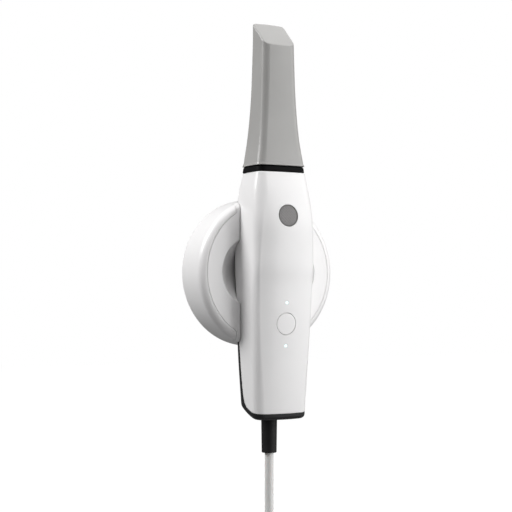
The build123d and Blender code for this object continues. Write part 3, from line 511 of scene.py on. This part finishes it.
def makeGrip():
    low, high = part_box("plug_body")
    sizes = {
        "ribRadius": plugGrip["ribRadius"], "ribPitch": plugGrip["ribPitch"],
        "ribLength": (high[0] - low[0]) * plugGrip["ribShare"],
        "ribLow": low[2] + (high[2] - low[2]) * plugGrip["ribStart"], "front": low[1], "back": high[1],
        "ringRadius": plugGrip["ringRadius"], "ringPitch": plugGrip["ringPitch"],
        "ringHeight": high[2] - plugGrip["ringTop"], "bootRadius": plugBootRadius(high),
        "middle": (low[1] + high[1]) / 2}
    tree, size = makeTree("plugGrip", list(sizes))
    bar = addNode(tree, "GeometryNodeMeshCylinder", {
        "Vertices": plugGrip["ribSides"], "Radius": size["ribRadius"],
        "Depth": size["ribLength"]}).outputs["Mesh"]
    bar = addNode(tree, "GeometryNodeTransform", {
        "Geometry": bar, "Rotation": (0, radians(90), 0)}).outputs[0]
    spread = []
    for side in ("front", "back"):
        start = addNode(tree, "ShaderNodeCombineXYZ", {"Y": size[side], "Z": size["ribLow"]}).outputs[0]
        step = addNode(tree, "ShaderNodeCombineXYZ", {"Z": size["ribPitch"]}).outputs[0]
        line = addNode(tree, "GeometryNodeMeshLine", {
            "Count": plugGrip["ribs"], "Start Location": start, "Offset": step}).outputs[0]
        spread.append(addNode(tree, "GeometryNodeInstanceOnPoints", {
            "Points": line, "Instance": bar}).outputs[0])
    loop = addNode(tree, "GeometryNodeCurvePrimitiveCircle", {
        "Resolution": plugGrip["ringCuts"], "Radius": size["bootRadius"]}).outputs["Curve"]
    rod = addNode(tree, "GeometryNodeCurvePrimitiveCircle", {
        "Resolution": plugGrip["ringSides"], "Radius": size["ringRadius"]}).outputs["Curve"]
    ring = addNode(tree, "GeometryNodeCurveToMesh", {"Curve": loop, "Profile Curve": rod}).outputs[0]
    start = addNode(tree, "ShaderNodeCombineXYZ", {"Y": size["middle"], "Z": size["ringHeight"]}).outputs[0]
    down = addNode(tree, "ShaderNodeMath", {0: size["ringPitch"], 1: -1.0}, operation="MULTIPLY").outputs[0]
    step = addNode(tree, "ShaderNodeCombineXYZ", {"Z": down}).outputs[0]
    line = addNode(tree, "GeometryNodeMeshLine", {
        "Count": plugGrip["rings"], "Start Location": start, "Offset": step}).outputs[0]
    spread.append(addNode(tree, "GeometryNodeInstanceOnPoints", {
        "Points": line, "Instance": ring}).outputs[0])
    joined = addNode(tree, "GeometryNodeJoinGeometry")
    for part in spread:
        tree.links.new(part, joined.inputs[0])
    closeTree(tree, joined.outputs[0], materials["paleGreyPvc"])
    return bake("plugGrip", tree, sizes)


grip = makeGrip()
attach(grip, "scanner")
print("plug grip made:", len(grip.data.polygons), "faces")

stipple = makeStipple()
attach(stipple, "scan_key")
print("scan button stippled:", len(stipple.data.polygons), "faces")

# Studio: a pale floor below the lead, and white all round for the camera, glass and metal
studio = {
    "floorHeight": -0.42, "floorSize": 12.0, "floorColour": "787878", "floorGlow": 0.97,
    "ambient": 0.18, "mirrored": 0.25, "floorMirrored": 0.125,
    "cameraPlace": (-0.40935, -0.74698, -0.01266), "cameraTarget": (-0.00931, -0.02823, 0.01032),
    "lens": 91.4, "nearest": 0.01, "white": (1, 1, 1, 1),
}


def seenStrength(tree, plain, mirrored, seen):  # by the kind of ray that meets the surroundings
    path = addNode(tree, "ShaderNodeLightPath").outputs
    clear = addNode(tree, "ShaderNodeMath", {0: path["Is Camera Ray"], 1: path["Is Transmission Ray"]},
                    operation="MAXIMUM").outputs[0]
    glossy = addNode(tree, "ShaderNodeMapRange", {
        "Value": path["Is Glossy Ray"], "To Min": plain, "To Max": mirrored}).outputs["Result"]
    return addNode(tree, "ShaderNodeMix", {0: clear, 2: glossy, 3: seen}).outputs[0]


def makeFloor():
    half = studio["floorSize"] / 2
    mesh = bpy.data.meshes.new("floor")
    corners = [(-half, -half), (half, -half), (half, half), (-half, half)]
    mesh.from_pydata([(x, y, studio["floorHeight"]) for x, y in corners], [], [(0, 1, 2, 3)])
    floor = bpy.data.objects.new("floor", mesh)
    bpy.context.scene.collection.objects.link(floor)
    material, tree = newMaterial("paleFloor")
    plain = addNode(tree, "ShaderNodeBsdfDiffuse", {"Color": colour(studio["floorColour"])})
    glow = addNode(tree, "ShaderNodeEmission", {
        "Color": studio["white"],
        "Strength": seenStrength(tree, 0.0, studio["floorMirrored"], studio["floorGlow"])})
    both = addNode(tree, "ShaderNodeAddShader", {0: plain.outputs[0], 1: glow.outputs[0]})
    # Seen from beneath, the floor is clear
    under = addNode(tree, "ShaderNodeNewGeometry").outputs["Backfacing"]
    clear = addNode(tree, "ShaderNodeBsdfTransparent")
    oneSided = addNode(tree, "ShaderNodeMixShader", {0: under, 1: both.outputs[0], 2: clear.outputs[0]})
    mesh.materials.append(wear(material, tree, oneSided.outputs[0]))


def makeWorld():
    world = bpy.data.worlds.new("studioWhite")
    bpy.context.scene.world = world
    world.use_nodes = True
    tree = world.node_tree
    tree.nodes.clear()
    strength = seenStrength(tree, studio["ambient"], studio["mirrored"], 1.0)
    white = addNode(tree, "ShaderNodeBackground", {"Color": studio["white"], "Strength": strength})
    addNode(tree, "ShaderNodeOutputWorld", {"Surface": white.outputs[0]})


# Softboxes: azimuth from the front (-Y) towards +X, elevation, distance, size and power
softboxes = {
    "keyBox": dict(azimuth=44, elevation=17, distance=1.2, width=1.4, height=1.4, power=15.8),
    "sideBox": dict(azimuth=-111, elevation=38, distance=1.2, width=0.6, height=0.6, power=13.8),
    "topBox": dict(azimuth=-5, elevation=70, distance=1.2, width=0.8, height=0.8, power=4.5),
    "backBox": dict(azimuth=118, elevation=56, distance=1.2, width=0.8, height=0.8, power=3.0),
}


def makeSoftbox(name, box):
    light = bpy.data.lights.new(name, "AREA")
    light.shape = "RECTANGLE"
    light.size = box["width"]
    light.size_y = box["height"]
    light.energy = box["power"]
    lamp = bpy.data.objects.new(name, light)
    az = radians(box["azimuth"])
    el = radians(box["elevation"])
    way = Vector((sin(az) * cos(el), -cos(az) * cos(el), sin(el)))
    lamp.location = way * box["distance"]
    lamp.rotation_euler = way.to_track_quat("Z", "Y").to_euler()
    bpy.context.scene.collection.objects.link(lamp)


def makeCamera():
    camera = bpy.data.objects.new("camera", bpy.data.cameras.new("camera"))
    camera.data.lens = studio["lens"]
    camera.data.clip_start = studio["nearest"]
    camera.location = studio["cameraPlace"]
    way = Vector(studio["cameraPlace"]) - Vector(studio["cameraTarget"])
    camera.rotation_euler = way.to_track_quat("Z", "Y").to_euler()
    bpy.context.scene.collection.objects.link(camera)
    bpy.context.scene.camera = camera


makeFloor()
makeWorld()
for name, box in softboxes.items():
    makeSoftbox(name, box)
makeCamera()
bpy.context.scene.view_settings.view_transform = "Standard"
print("studio set")
